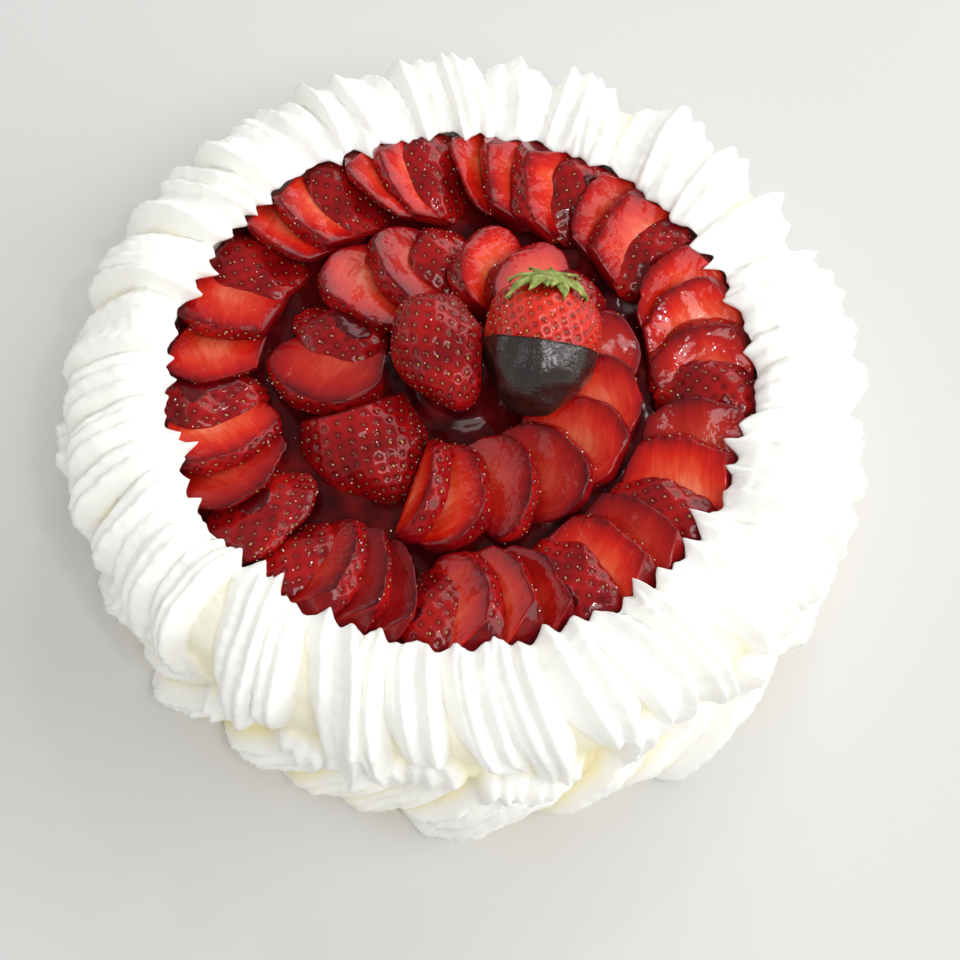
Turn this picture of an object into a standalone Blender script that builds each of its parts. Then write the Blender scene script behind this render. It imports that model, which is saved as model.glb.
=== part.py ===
"""A round strawberry cream cake: piped cream round the side and rim, two rings of fanned
strawberry slices set in dark jelly, a glazed berry and a chocolate-dipped half in the middle.

Lengths are in millimetres until a part is finished, then in metres. The origin is the
centre of the base, +Z is up, and angles run counter-clockwise from +X.
"""
import math
import random

import bmesh
import bpy
from mathutils import Matrix, Vector

MM = 0.001
GAP = 0.3
UP = Vector((0.0, 0.0, 1.0))

# The cake's body and its jelly bed. The well in the cream sits a little off the centre.
WELL_SHIFT = Vector((-1.5, -3.0, 0.0))
CAKE_TOP = 65.0
WELL_RADIUS = 95.6
BED_TOP = 68.5
MOUND_RADIUS = 15.0
MOUND_TOP = 74.0
MOUND_ROUND = 3.0
MOUND_SLOPE = 2.0
JELLY_SIDES = 40
BED_CLEARANCE = 1.5

# Piped cream. One stroke is a star-nozzle line with a deep groove on one side and
# a few ridges across it, so it takes six columns of the surface.
STROKES = 43
STROKE_RIDGES = (-1.0, 0.3, 0.05, 1.0, 0.35, 0.45)
# How much the strokes differ: share of the ridges' depth, share of the tips' reach,
# sideways swing in degrees, lift of the crest.
STROKE_DEPTH = (0.65, 1.25)
STROKE_REACH = (0.2, 1.6)
STROKE_SWING = (-1.3, 1.3)
STROKE_LIFT = (-1.0, 1.0)
SWING_ROWS = 5
TIP_REACH = 3.6
TIP_RISE = 0.5
# From the well to the base: radius, height, depth of the ridges, turn about the axis,
# share of the well's shift.
CREAM_ROWS = (
    (95.6, 65.0, 0.0, 0.0, 1.0),
    (95.3, 78.0, 0.0, 0.0, 1.0),
    (93.6, 82.0, 0.0, 0.0, 1.0),
    (99.0, 84.0, 1.9, 0.4, 0.9),
    (106.5, 84.6, 2.7, 1.3, 0.7),
    (116.5, 81.0, 3.0, 2.4, 0.4),
    (123.8, 74.0, 3.2, 3.5, 0.2),
    (127.2, 63.0, 3.2, 4.6, 0.0),
    (128.0, 48.0, 2.9, 5.4, 0.0),
    (125.0, 33.0, 1.6, 4.8, 0.0),
    (128.2, 23.5, 2.7, 2.2, 0.0),
    (129.4, 12.0, 3.0, -1.6, 0.0),
    (126.8, 0.0, 1.6, -4.6, 0.0),
)
TIP_ROW = 2
FOOT_ROWS = 2

# Strawberry slices. Every slice is cut from a whole berry's form, and leans on the next
# one round the ring like a fallen domino, its raised edge counter-clockwise.
BERRY_SIDES = 12
BERRY_RINGS = 7
SHOULDER_FULLNESS = 2.6
SLICE_FULLNESS = 2.0
DIPPED_FULLNESS = 2.5
BERRY_TAPER = 0.17
BERRY_SHOULDER = 0.10
SMOOTH_BERRY = (18, 12)
# A slice's centre stands above the bed by this share of its width, along its slope.
CENTRE_SHARE = 0.42
# The part of a slice that shows lies ahead of its centre, so the centre is turned back by
# half its width less these degrees.
OUTER_SHOWN = 4.0
INNER_SHOWN = 6.0
OUTER_RING = {"radius": 77.6, "length": 41.0, "thickness": 5.8}
OUTER_SWELL = (0.95, 1.05)
OUTER_LENGTHS = (0.96, 1.03)
OUTER_TILTS = (-2.0, 2.0)
OUTER_YAWS = (-4.0, 4.0)
CROWN_SLICES = 0.7
# The slices of a fan spread like held cards: degrees more from each to the next.
FAN_SPREAD = 4.0
# Each fan: first and last angle, number of slices, tilt from level, width, and the radius
# of its inner end.
OUTER_FANS = (
    (1.0, 30.0, 4, 28.0, 32.0, 60.5),
    (39.0, 57.0, 3, 31.0, 31.0, 61.5),
    (65.0, 91.0, 4, 33.0, 31.0, 61.0),
    (100.0, 116.0, 3, 33.0, 31.0, 61.0),
    (124.0, 143.0, 3, 29.0, 31.0, 63.5),
    (154.0, 181.0, 3, 19.0, 34.0, 64.5),
    (191.0, 213.0, 3, 23.0, 34.0, 58.5),
    (225.0, 225.0, 1, 26.0, 34.0, 57.5),
    (236.0, 260.0, 4, 33.0, 30.0, 59.0),
    (268.0, 292.0, 4, 35.0, 30.0, 61.0),
    (300.0, 319.0, 3, 31.0, 31.0, 60.5),
    (328.0, 350.0, 3, 29.0, 32.0, 60.5),
)
# Where the outer slices end: at the well's wall, and sloping under the cream's lip.
OUTER_TRIM = {"outside": 93.6, "lip_radius": 90.0, "lip_height": 78.5, "slope": 52.0}
INNER_RING = {"radius": 41.0, "inside": 24.2, "thickness": 6.6, "depth": 0.9, "raised": 0.2}
# Inner slices that keep their skin on top, how much thicker those are, and the share of
# the slices with the tip outwards.
INNER_SKIN_UP = (2, 5, 8)
INNER_CROWN = 1.5
INNER_TIP_OUT = 0.4
# Each inner slice: angle of the part that shows, tilt from level, length, width, and the
# radius of its outer end.
INNER_SLICES = (
    (4.0, 20.0, 35.0, 31.0, 58.5),
    (25.0, 25.0, 35.0, 29.0, 58.5),
    (46.0, 31.0, 34.0, 27.0, 58.0),
    (67.0, 33.0, 34.0, 27.0, 58.0),
    (87.0, 34.0, 34.0, 27.0, 58.0),
    (105.0, 34.0, 34.0, 28.0, 58.5),
    (124.0, 29.0, 36.0, 28.0, 60.0),
    (146.0, 17.0, 39.0, 31.0, 62.5),
    (169.0, 21.0, 39.0, 33.0, 62.5),
    (193.0, 19.0, 39.0, 35.0, 62.5),
    (258.0, 56.0, 36.0, 22.0, 59.5),
    (278.0, 26.0, 36.0, 31.0, 59.5),
    (299.0, 30.0, 35.0, 30.0, 58.5),
    (320.0, 31.0, 35.0, 30.0, 58.5),
    (343.0, 26.0, 35.0, 31.0, 58.5),
)
HALF_AFTER = 9

# The big half berry in the inner ring, skin up.
HALF_CENTRE = (-28.0, -22.0)
HALF_SIZE = (48.0, 37.0, 34.0)
HALF_AXIS_ANGLE = 134.0
# Where its sides meet the slices beside it: angle and slope of the plane between them.
HALF_SIDES = ((200.0, 58.0), (251.0, 64.0))
HALF_SIDE_HEIGHT = 9.0

# The glazed whole berry in the middle.
GLAZED_CENTRE = (-7.6, 0.0, 87.0)
GLAZED_SIZE = (41.0, 28.5, 26.0)
GLAZED_SIDE = 5.0
GLAZED_AXIS_ANGLE = 112.0

# The dipped half berry leans back with its calyx up; its flat side is underneath.
DIPPED_CENTRE = (23.6, 0.2, 92.0)
DIPPED_SIZE = (43.0, 35.0, 34.0)
DIPPED_LEAN = 21.0
DIPPED_TURN = -8.0
DIP_LEVEL = -1.0
DIP_THICKNESS = 0.9
# The calyx: pointed leaves. Each spans four columns, from the notch beside it to its tip,
# and its outline runs through the rings from the hub to the tips.
CALYX_LEAVES = 8
CALYX_REACH = 15.0
CALYX_OUTLINE = (0.30, 0.72, 1.0, 0.72)
CALYX_THICKNESS = 0.7
CALYX_RINGS = (0.0, 0.4, 0.72, 1.0)
CALYX_ROOM = 1.1
CALYX_CURL = 0.8
CALYX_WAVE = 0.3
CALYX_WAVES = 3.0
SHOULDER_STEPS = 60

COLOURS = {
    "cream": ((0.93, 0.92, 0.86), 0.55),
    "jelly": ((0.05, 0.004, 0.006), 0.12),
    "flesh": ((0.62, 0.045, 0.025), 0.18),
    "skin": ((0.34, 0.012, 0.014), 0.15),
    "chocolate": ((0.022, 0.014, 0.011), 0.3),
    "leaf": ((0.13, 0.22, 0.04), 0.5),
}


def clear_scene():
    for item in list(bpy.data.objects):
        bpy.data.objects.remove(item, do_unlink=True)


def add_material(name):
    colour, roughness = COLOURS[name]
    material = bpy.data.materials.new(name)
    material.use_nodes = True
    shader = material.node_tree.nodes["Principled BSDF"]
    shader.inputs["Base Color"].default_value = (*colour, 1.0)
    shader.inputs["Roughness"].default_value = roughness
    shader.inputs["Metallic"].default_value = 0.0
    return material


def add_part(name, form, material, collection, shift=None):
    """Turns a closed form in millimetres into a named object in metres."""
    if shift:
        bmesh.ops.translate(form, vec=shift, verts=form.verts)
    bmesh.ops.remove_doubles(form, verts=form.verts, dist=0.02)
    bmesh.ops.recalc_face_normals(form, faces=form.faces)
    bmesh.ops.transform(form, matrix=Matrix.Scale(MM, 4), verts=form.verts)
    mesh = bpy.data.meshes.new(name)
    form.to_mesh(mesh)
    form.free()
    mesh.materials.append(material)
    mesh.shade_smooth()
    mesh.set_sharp_from_angle(angle=math.radians(40.0))
    item = bpy.data.objects.new(name, mesh)
    collection.objects.link(item)
    return item


def polar(radius, angle, height=0.0):
    turn = math.radians(angle)
    return Vector((radius * math.cos(turn), radius * math.sin(turn), height))


def cut_away(form, point, normal):
    """Removes what lies on the normal's side of a plane and closes the cut."""
    everything = form.verts[:] + form.edges[:] + form.faces[:]
    bmesh.ops.bisect_plane(
        form, geom=everything, dist=0.02, plane_co=point, plane_no=normal, clear_outer=True
    )
    rim = [edge for edge in form.edges if edge.is_boundary]
    if rim:
        bmesh.ops.edgeloop_fill(form, edges=rim)


def berry_share(level, tip_fullness):
    """A berry's half width, as a share of its widest, from tip (-1) to calyx end (+1)."""
    fullness = SHOULDER_FULLNESS if level > 0.0 else tip_fullness
    round_part = math.sqrt(max(1.0 - abs(level) ** fullness, 0.0))
    return round_part * (1.0 + BERRY_TAPER * level - BERRY_SHOULDER * level * level)


def berry_form(size, sides=BERRY_SIDES, rings=BERRY_RINGS, tip_fullness=SLICE_FULLNESS):
    """A whole strawberry: widest near the calyx end at +Z, tapered to its tip at -Z."""
    length, width, depth = size
    form = bmesh.new()
    bmesh.ops.create_uvsphere(form, u_segments=sides, v_segments=rings, radius=1.0)
    for vert in form.verts:
        level = vert.co.z
        spread = berry_share(level, tip_fullness) / math.sqrt(max(1.0 - level * level, 1e-9))
        vert.co.x *= spread * width / 2.0
        vert.co.y *= spread * depth / 2.0
        vert.co.z *= length / 2.0
    return form


def ring_frame(angle, radius, height, tilt, tip_out=False, yaw=0.0):
    """The place of a slice: X up along the slice, Y out of its upper face, Z along the berry."""
    outward = polar(1.0, angle + yaw)
    around = polar(1.0, angle + yaw + 90.0)
    lean = math.radians(tilt)
    rise = around * math.cos(lean) + UP * math.sin(lean)
    face = UP * math.cos(lean) - around * math.sin(lean)
    if tip_out:
        outward = -outward
        rise = -rise
    frame = Matrix((rise, face, outward)).transposed().to_4x4()
    frame.translation = polar(radius, angle, height)
    return frame, face


class Slice:
    """One slice of a berry, kept between two cuts and set in its ring."""

    def __init__(self, name, size, low, high, frame, face, skin_up):
        self.name = name
        self.skin_up = skin_up
        self.face = face
        self.centre = frame.translation.copy()
        self.form = berry_form(size)
        cut_away(self.form, Vector((0.0, high, 0.0)), Vector((0.0, 1.0, 0.0)))
        cut_away(self.form, Vector((0.0, low, 0.0)), Vector((0.0, -1.0, 0.0)))
        shift = Matrix.Translation((0.0, -(low + high) / 2.0, 0.0))
        bmesh.ops.transform(self.form, matrix=frame @ shift, verts=self.form.verts)
        cut_away(self.form, Vector((0.0, 0.0, BED_TOP + GAP)), -UP)


def part_neighbours(above, below):
    """Cuts two leaning slices along the plane half-way between them, a gap apart."""
    middle = (above.centre + below.centre) / 2.0
    normal = (above.face + below.face).normalized()
    cut_away(above.form, middle + normal * GAP / 2.0, -normal)
    cut_away(below.form, middle - normal * GAP / 2.0, normal)


def trim_ends(form, angle, inside, outside):
    """Blunt, upright ends across the slice's own angle."""
    outward = polar(1.0, angle)
    cut_away(form, outward * inside, -outward)
    cut_away(form, outward * outside, outward)


def outer_slices(chance):
    """The fans of the outer ring: in each, the slices of one berry, skin side first."""
    ring = OUTER_RING
    slices = []
    for first, last, count, lean_angle, broad, inside in OUTER_FANS:
        step = (last - first) / max(count - 1, 1)
        swell = chance.uniform(*OUTER_SWELL)
        for place in range(count):
            middle = (count - 1) / 2.0 - place
            depth = (count + CROWN_SLICES) * ring["thickness"]
            low = (middle - 0.5) * ring["thickness"]
            high = low + ring["thickness"]
            if place == 0:
                high = depth / 2.0
            width = broad * swell * chance.uniform(*OUTER_SWELL)
            length = ring["length"] * chance.uniform(*OUTER_LENGTHS)
            tilt = lean_angle + chance.uniform(*OUTER_TILTS)
            lean = math.radians(tilt)
            back = math.degrees(width / 2.0 * math.cos(lean) / ring["radius"]) - OUTER_SHOWN
            height = BED_TOP + width * CENTRE_SHARE * math.sin(lean)
            angle = first + step * place - back
            yaw = chance.uniform(*OUTER_YAWS) - middle * FAN_SPREAD
            frame, face = ring_frame(angle, ring["radius"], height, tilt, yaw=yaw)
            name = f"outer_slice_{len(slices) + 1:02d}"
            size = (length, width, depth)
            item = Slice(name, size, low, high, frame, face, place == 0)
            trim_ends(item.form, angle, inside, OUTER_TRIM["outside"])
            slope = math.radians(OUTER_TRIM["slope"])
            lip_normal = polar(math.cos(slope), angle, math.sin(slope))
            lip = polar(OUTER_TRIM["lip_radius"], angle, OUTER_TRIM["lip_height"])
            cut_away(item.form, lip, lip_normal)
            slices.append(item)
    for order, item in enumerate(slices):
        part_neighbours(item, slices[(order + 1) % len(slices)])
    return slices


def inner_slices(chance):
    """The slices of the inner ring, with a break for the big half berry."""
    ring = INNER_RING
    slices = []
    for angle, tilt, length, width, outside in INNER_SLICES:
        skin_up = len(slices) in INNER_SKIN_UP
        low = -ring["thickness"] / 2.0
        high = ring["thickness"] / 2.0
        depth = width * ring["depth"]
        if skin_up:
            high = depth / 2.0
            low = high - ring["thickness"] - INNER_CROWN
        lean = math.radians(tilt)
        radius = outside - length / 2.0
        back = math.degrees(width / 2.0 * math.cos(lean) / radius) - INNER_SHOWN
        raised = ring["thickness"] * ring["raised"]
        height = BED_TOP + width * CENTRE_SHARE * math.sin(lean) + raised
        tip_out = chance.random() < INNER_TIP_OUT
        frame, face = ring_frame(angle - back, radius, height, tilt, tip_out)
        name = f"inner_slice_{len(slices) + 1:02d}"
        size = (length, width, depth)
        item = Slice(name, size, low, high, frame, face, skin_up)
        trim_ends(item.form, angle - back, ring["inside"], outside)
        slices.append(item)
    for order, item in enumerate(slices):
        if order != HALF_AFTER:
            part_neighbours(item, slices[(order + 1) % len(slices)])
    return slices


def level_frame(centre, axis_angle):
    """A berry lying level: Z along its calyx end, Y up."""
    along = polar(1.0, axis_angle)
    frame = Matrix((UP.cross(along), UP, along)).transposed().to_4x4()
    frame.translation = Vector(centre)
    return frame


def half_berry(before, after):
    """The half berry, cut flat on the bed; the slices beside it give way to it."""
    form = berry_form(HALF_SIZE, *SMOOTH_BERRY)
    frame = level_frame((*HALF_CENTRE, BED_TOP + GAP), HALF_AXIS_ANGLE)
    bmesh.ops.transform(form, matrix=frame, verts=form.verts)
    cut_away(form, Vector((0.0, 0.0, BED_TOP + GAP)), -UP)
    sides = (([before], HALF_SIDES[0], -1.0), (after, HALF_SIDES[1], 1.0))
    for neighbours, (angle, slope), side in sides:
        lean = math.radians(slope)
        normal = polar(side * math.sin(lean), angle + 90.0, math.cos(lean))
        point = polar(INNER_RING["radius"], angle, BED_TOP + HALF_SIDE_HEIGHT)
        cut_away(form, point - normal * GAP / 2.0, normal)
        for neighbour in neighbours:
            cut_away(neighbour.form, point + normal * GAP / 2.0, -normal)
    return form


def cream_form(chance):
    """The cake in its piped cream: one closed skin of rows, ridged stroke by stroke."""
    per_stroke = len(STROKE_RIDGES)
    columns = STROKES * per_stroke
    strokes = [
        {
            "depth": chance.uniform(*STROKE_DEPTH),
            "reach": chance.uniform(*STROKE_REACH),
            "swing": chance.uniform(*STROKE_SWING),
            "lift": chance.uniform(*STROKE_LIFT),
        }
        for _ in range(STROKES)
    ]
    form = bmesh.new()
    rows = []
    last_row = len(CREAM_ROWS) - 1
    for number, (radius, height, depth, turn, shift) in enumerate(CREAM_ROWS):
        before = CREAM_ROWS[max(number - 1, 0)]
        after = CREAM_ROWS[min(number + 1, last_row)]
        along = Vector((after[0] - before[0], after[1] - before[1])).normalized()
        outward = Vector((-along.y, along.x))
        row = []
        for column in range(columns):
            stroke = strokes[column // per_stroke]
            following = strokes[(column // per_stroke + 1) % STROKES]
            share = (column % per_stroke) / per_stroke
            swing = stroke["swing"] * (1.0 - share) + following["swing"] * share
            lift = stroke["lift"] * (1.0 - share) + following["lift"] * share
            ridge = STROKE_RIDGES[column % per_stroke]
            reach = depth * ridge * stroke["depth"]
            place = Vector((radius, height)) + outward * reach
            if number == TIP_ROW:
                place.x -= TIP_REACH * ridge * stroke["reach"]
                place.y += TIP_RISE * ridge
            if 0 < number < last_row - FOOT_ROWS:
                place.y += lift
            if number == last_row:
                place = Vector((radius + reach, 0.0))
            swing *= min(number / SWING_ROWS, 1.0)
            angle = 360.0 * column / columns + turn + swing
            row.append(form.verts.new(polar(place.x, angle, place.y) + WELL_SHIFT * shift))
        rows.append(row)
    for upper, lower in zip(rows, rows[1:]):
        for column in range(columns):
            following = (column + 1) % columns
            form.faces.new((upper[column], lower[column], lower[following], upper[following]))
    form.faces.new(rows[0])
    form.faces.new(rows[-1][::-1])
    return form


def jelly_form():
    """The jelly bed: a disc in the cream's well, with a low mound in the middle."""
    profile = (
        (0.0, MOUND_TOP),
        (MOUND_RADIUS - MOUND_ROUND, MOUND_TOP),
        (MOUND_RADIUS, MOUND_TOP - MOUND_SLOPE),
        (MOUND_RADIUS + MOUND_SLOPE, BED_TOP),
        (WELL_RADIUS - BED_CLEARANCE, BED_TOP),
        (WELL_RADIUS - BED_CLEARANCE, CAKE_TOP + GAP),
        (0.0, CAKE_TOP + GAP),
    )
    form = bmesh.new()
    points = [form.verts.new((radius, 0.0, height)) for radius, height in profile]
    edges = [form.edges.new(pair) for pair in zip(points, points[1:])]
    bmesh.ops.spin(
        form, geom=points + edges, cent=(0.0, 0.0, 0.0), axis=(0.0, 0.0, 1.0),
        angle=math.tau, steps=JELLY_SIDES, use_merge=True,
    )
    bmesh.ops.remove_doubles(form, verts=form.verts, dist=0.01)
    return form


def glazed_form():
    form = berry_form(GLAZED_SIZE, *SMOOTH_BERRY)
    frame = level_frame(GLAZED_CENTRE, GLAZED_AXIS_ANGLE)
    bmesh.ops.transform(form, matrix=frame, verts=form.verts)
    cut_away(form, Vector((0.0, 0.0, MOUND_TOP + GAP)), -UP)
    cut_away(form, Vector((GLAZED_SIDE, 0.0, 0.0)), Vector((1.0, 0.0, 0.0)))
    return form


def dipped_frame():
    lean = Matrix.Rotation(math.radians(DIPPED_LEAN), 4, "X")
    turn = Matrix.Rotation(math.radians(DIPPED_TURN), 4, "Z")
    frame = level_frame((0.0, 0.0, 0.0), 90.0)
    return Matrix.Translation(DIPPED_CENTRE) @ turn @ lean @ frame


def dipped_forms():
    """The red upper part of the half berry and the chocolate that covers its tip."""
    across = Vector((0.0, 0.0, 1.0))
    flat = Vector((0.0, -1.0, 0.0))
    berry = berry_form(DIPPED_SIZE, *SMOOTH_BERRY, DIPPED_FULLNESS)
    cut_away(berry, Vector((0.0, 0.0, DIP_LEVEL)), -across)
    cut_away(berry, Vector((0.0, 0.0, 0.0)), flat)
    coat_size = [side + 2.0 * DIP_THICKNESS for side in DIPPED_SIZE]
    coat = berry_form(coat_size, *SMOOTH_BERRY, DIPPED_FULLNESS)
    cut_away(coat, Vector((0.0, 0.0, DIP_LEVEL - GAP)), across)
    cut_away(coat, Vector((0.0, 0.0, 0.0)), flat)
    for form in (berry, coat):
        bmesh.ops.transform(form, matrix=dipped_frame(), verts=form.verts)
    return berry, coat


def calyx_form():
    """A ring of pointed leaves that lie over the berry's shoulder, as one thin solid."""
    length, width, depth = DIPPED_SIZE
    per_leaf = len(CALYX_OUTLINE)
    columns = CALYX_LEAVES * per_leaf
    form = bmesh.new()
    layers = []
    for lift in (GAP, GAP + CALYX_THICKNESS):
        rings = []
        for share in CALYX_RINGS:
            ring = []
            for column in range(columns if share else 1):
                angle = math.tau * column / columns
                reach = CALYX_REACH * share * CALYX_OUTLINE[column % per_leaf]
                wave = CALYX_WAVE * share * (1.0 + math.sin(angle * CALYX_WAVES))
                shoulder = shoulder_height(max(reach - CALYX_ROOM, 0.0), length, width)
                height = shoulder + lift + wave + CALYX_CURL * share ** 3
                spot = (reach * math.cos(angle), reach * math.sin(angle) * depth / width, height)
                ring.append(form.verts.new(spot))
            rings.append(ring)
        layers.append(rings)
    for rings, order in zip(layers, (-1, 1)):
        for column in range(columns):
            following = (column + 1) % columns
            near = (rings[0][0], rings[1][column], rings[1][following])
            form.faces.new(near[::order])
            for inner, outer in zip(rings[1:], rings[2:]):
                far = (inner[column], outer[column], outer[following], inner[following])
                form.faces.new(far[::order])
    under, over = layers[0][-1], layers[1][-1]
    for column in range(columns):
        following = (column + 1) % columns
        form.faces.new((under[column], under[following], over[following], over[column]))
    cut_away(form, Vector((0.0, 0.0, 0.0)), Vector((0.0, -1.0, 0.0)))
    bmesh.ops.transform(form, matrix=dipped_frame(), verts=form.verts)
    return form


def shoulder_height(reach, length, width):
    """Height of the berry's shoulder at a distance from its axis, with room for the leaf."""
    best = 0.0
    for step in range(SHOULDER_STEPS):
        level = 1.0 - step / SHOULDER_STEPS
        if berry_share(level, DIPPED_FULLNESS) * width / 2.0 >= reach:
            best = level * length / 2.0
            break
    return best


def build():
    clear_scene()
    collection = bpy.data.collections.new("strawberry_cream_cake")
    bpy.context.scene.collection.children.link(collection)
    materials = {name: add_material(name) for name in COLOURS}
    chance = random.Random(7)
    add_part("cake", cream_form(chance), materials["cream"], collection)
    add_part("jelly", jelly_form(), materials["jelly"], collection, WELL_SHIFT)
    outer = outer_slices(chance)
    inner = inner_slices(chance)
    half = half_berry(inner[HALF_AFTER], inner[HALF_AFTER + 1:HALF_AFTER + 3])
    for item in outer + inner:
        look = materials["skin" if item.skin_up else "flesh"]
        add_part(item.name, item.form, look, collection, WELL_SHIFT)
    add_part("half_berry", half, materials["skin"], collection, WELL_SHIFT)
    add_part("glazed_berry", glazed_form(), materials["skin"], collection)
    berry, coat = dipped_forms()
    add_part("dipped_berry", berry, materials["flesh"], collection)
    add_part("chocolate", coat, materials["chocolate"], collection)
    add_part("calyx", calyx_form(), materials["leaf"], collection)


build()
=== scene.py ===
import math
import random

import bmesh
import bpy
import numpy as np
from mathutils import Matrix, Vector, kdtree, noise


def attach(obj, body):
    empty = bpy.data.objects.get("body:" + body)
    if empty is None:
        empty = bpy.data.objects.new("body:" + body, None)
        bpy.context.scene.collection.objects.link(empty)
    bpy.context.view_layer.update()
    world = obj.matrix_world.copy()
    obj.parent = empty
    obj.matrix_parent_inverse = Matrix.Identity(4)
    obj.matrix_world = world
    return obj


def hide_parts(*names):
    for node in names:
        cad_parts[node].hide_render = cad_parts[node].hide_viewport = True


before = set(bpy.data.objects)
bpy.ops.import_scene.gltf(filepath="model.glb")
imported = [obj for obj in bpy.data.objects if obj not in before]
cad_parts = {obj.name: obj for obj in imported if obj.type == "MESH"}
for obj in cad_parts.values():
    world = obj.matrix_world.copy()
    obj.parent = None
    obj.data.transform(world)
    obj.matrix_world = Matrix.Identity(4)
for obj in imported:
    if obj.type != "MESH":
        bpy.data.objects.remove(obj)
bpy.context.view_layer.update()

mm = 0.001
gap = 0.3                      # clearance that the solids keep, mm
up = Vector((0.0, 0.0, 1.0))


# camera at the photograph's viewing angle

camera = {"target": (0.0054, -0.0037, 0.0), "elevation": 65.2, "roll": 1.2, "distance": 0.579, "lens": 60.0}


def setCamera():
    tilt = math.radians(camera["elevation"])
    turn = math.radians(camera["roll"])
    forward = Vector((0.0, math.cos(tilt), -math.sin(tilt)))
    right = Vector((1.0, 0.0, 0.0))
    upright = right.cross(forward)
    rolledRight = right * math.cos(turn) + upright * math.sin(turn)
    rolledUp = upright * math.cos(turn) - right * math.sin(turn)
    data = bpy.data.cameras.new("photoCamera")
    data.sensor_width = 36.0
    data.lens = camera["lens"]
    data.clip_start = 0.01
    item = bpy.data.objects.new("photoCamera", data)
    bpy.context.scene.collection.objects.link(item)
    place = Vector(camera["target"]) - forward * camera["distance"]
    facing = Matrix((rolledRight, rolledUp, -forward)).transposed().to_4x4()
    item.matrix_world = Matrix.Translation(place) @ facing
    bpy.context.scene.camera = item


setCamera()
bpy.context.scene.view_settings.view_transform = "Standard"      # the photograph clips its whites
print("camera set")


def hexToLinear(code):
    parts = [int(code[i:i + 2], 16) / 255.0 for i in (1, 3, 5)]
    return tuple(p / 12.92 if p <= 0.04045 else ((p + 0.055) / 1.055) ** 2.4 for p in parts) + (1.0,)


def addNode(tree, kind, settings=None, links=None):
    node = tree.nodes.new("ShaderNode" + kind)
    for key, value in (settings or {}).items():
        if isinstance(key, str) and hasattr(node, key):
            setattr(node, key, value)
        else:
            node.inputs[key].default_value = value
    for key, socket in (links or {}).items():
        tree.links.new(socket, node.inputs[key])
    return node


def startMaterial(name, shader):
    material = bpy.data.materials.new(name)
    material.use_nodes = True
    tree = material.node_tree
    tree.nodes.clear()
    body = addNode(tree, "BsdfPrincipled", shader)
    output = addNode(tree, "OutputMaterial")
    tree.links.new(body.outputs["BSDF"], output.inputs["Surface"])
    return material, tree, body


def colourRamp(tree, factor, stops):
    node = addNode(tree, "ValToRGB", links={"Fac": factor})
    ramp = node.color_ramp
    while len(ramp.elements) < len(stops):
        ramp.elements.new(0.5)
    for element, (place, code) in zip(ramp.elements, stops):
        element.position = place
        element.color = hexToLinear(code)
    return node.outputs["Color"]


# whipped cream: fat foam, soft sheen, light goes a few mm in; the grooves between the ridges are painted a
# darker pale yellow as shade, the ridges near white

def makeWhippedCream():
    material, tree, body = startMaterial("whippedCream", {
        "Roughness": 0.48, "IOR": 1.36, "Subsurface Weight": 0.35, "Subsurface Radius": (1.0, 0.85, 0.6),
        "Subsurface Scale": 0.0035, "Specular IOR Level": 0.35,
    })
    fold = addNode(tree, "Attribute", {"attribute_name": "foldHeight"})
    place = addNode(tree, "TexCoord")
    mottle = addNode(tree, "TexNoise", {"Scale": 55.0, "Detail": 3.0}, {"Vector": place.outputs["Object"]})
    mixed = addNode(tree, "Math", {"operation": "MULTIPLY_ADD", 1: 0.35},
                    {0: mottle.outputs["Fac"], 2: fold.outputs["Fac"]})
    # painted shade: the folds near the base are painted a deeper warm yellow than those under the rim, 80 mm
    # up
    axes = addNode(tree, "SeparateXYZ", links={"Vector": place.outputs["Object"]})
    paler = addNode(tree, "Math", {"operation": "MULTIPLY_ADD", 1: 6.5},
                    {0: axes.outputs["Z"], 2: mixed.outputs["Value"]})
    # the ramp paints the shade: pale yellow where the mask is low, in the grooves, near white where it is
    # high, on the ridges
    colour = colourRamp(tree, paler.outputs["Value"], (
        (0.12, "#F0E2AC"), (0.42, "#FBF2CE"), (0.76, "#FFFBEA"), (1.0, "#FFFFF8")))
    tree.links.new(colour, body.inputs["Base Color"])
    # foam bubbles are about 0.2 mm; drawn at 1.2 mm so that they show at all
    foam = addNode(tree, "TexNoise", {"Scale": 1.0 / (1.2 * mm), "Detail": 4.0, "Roughness": 0.6},
                   {"Vector": place.outputs["Object"]})
    bump = addNode(tree, "Bump", {"Strength": 0.25, "Distance": 0.0004}, {"Height": foam.outputs["Fac"]})
    tree.links.new(bump.outputs["Normal"], body.inputs["Normal"])
    return material


# cut strawberry under clear glaze: wet flesh, crimson at the rim and paler to the core, a mirror coat on top

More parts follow.
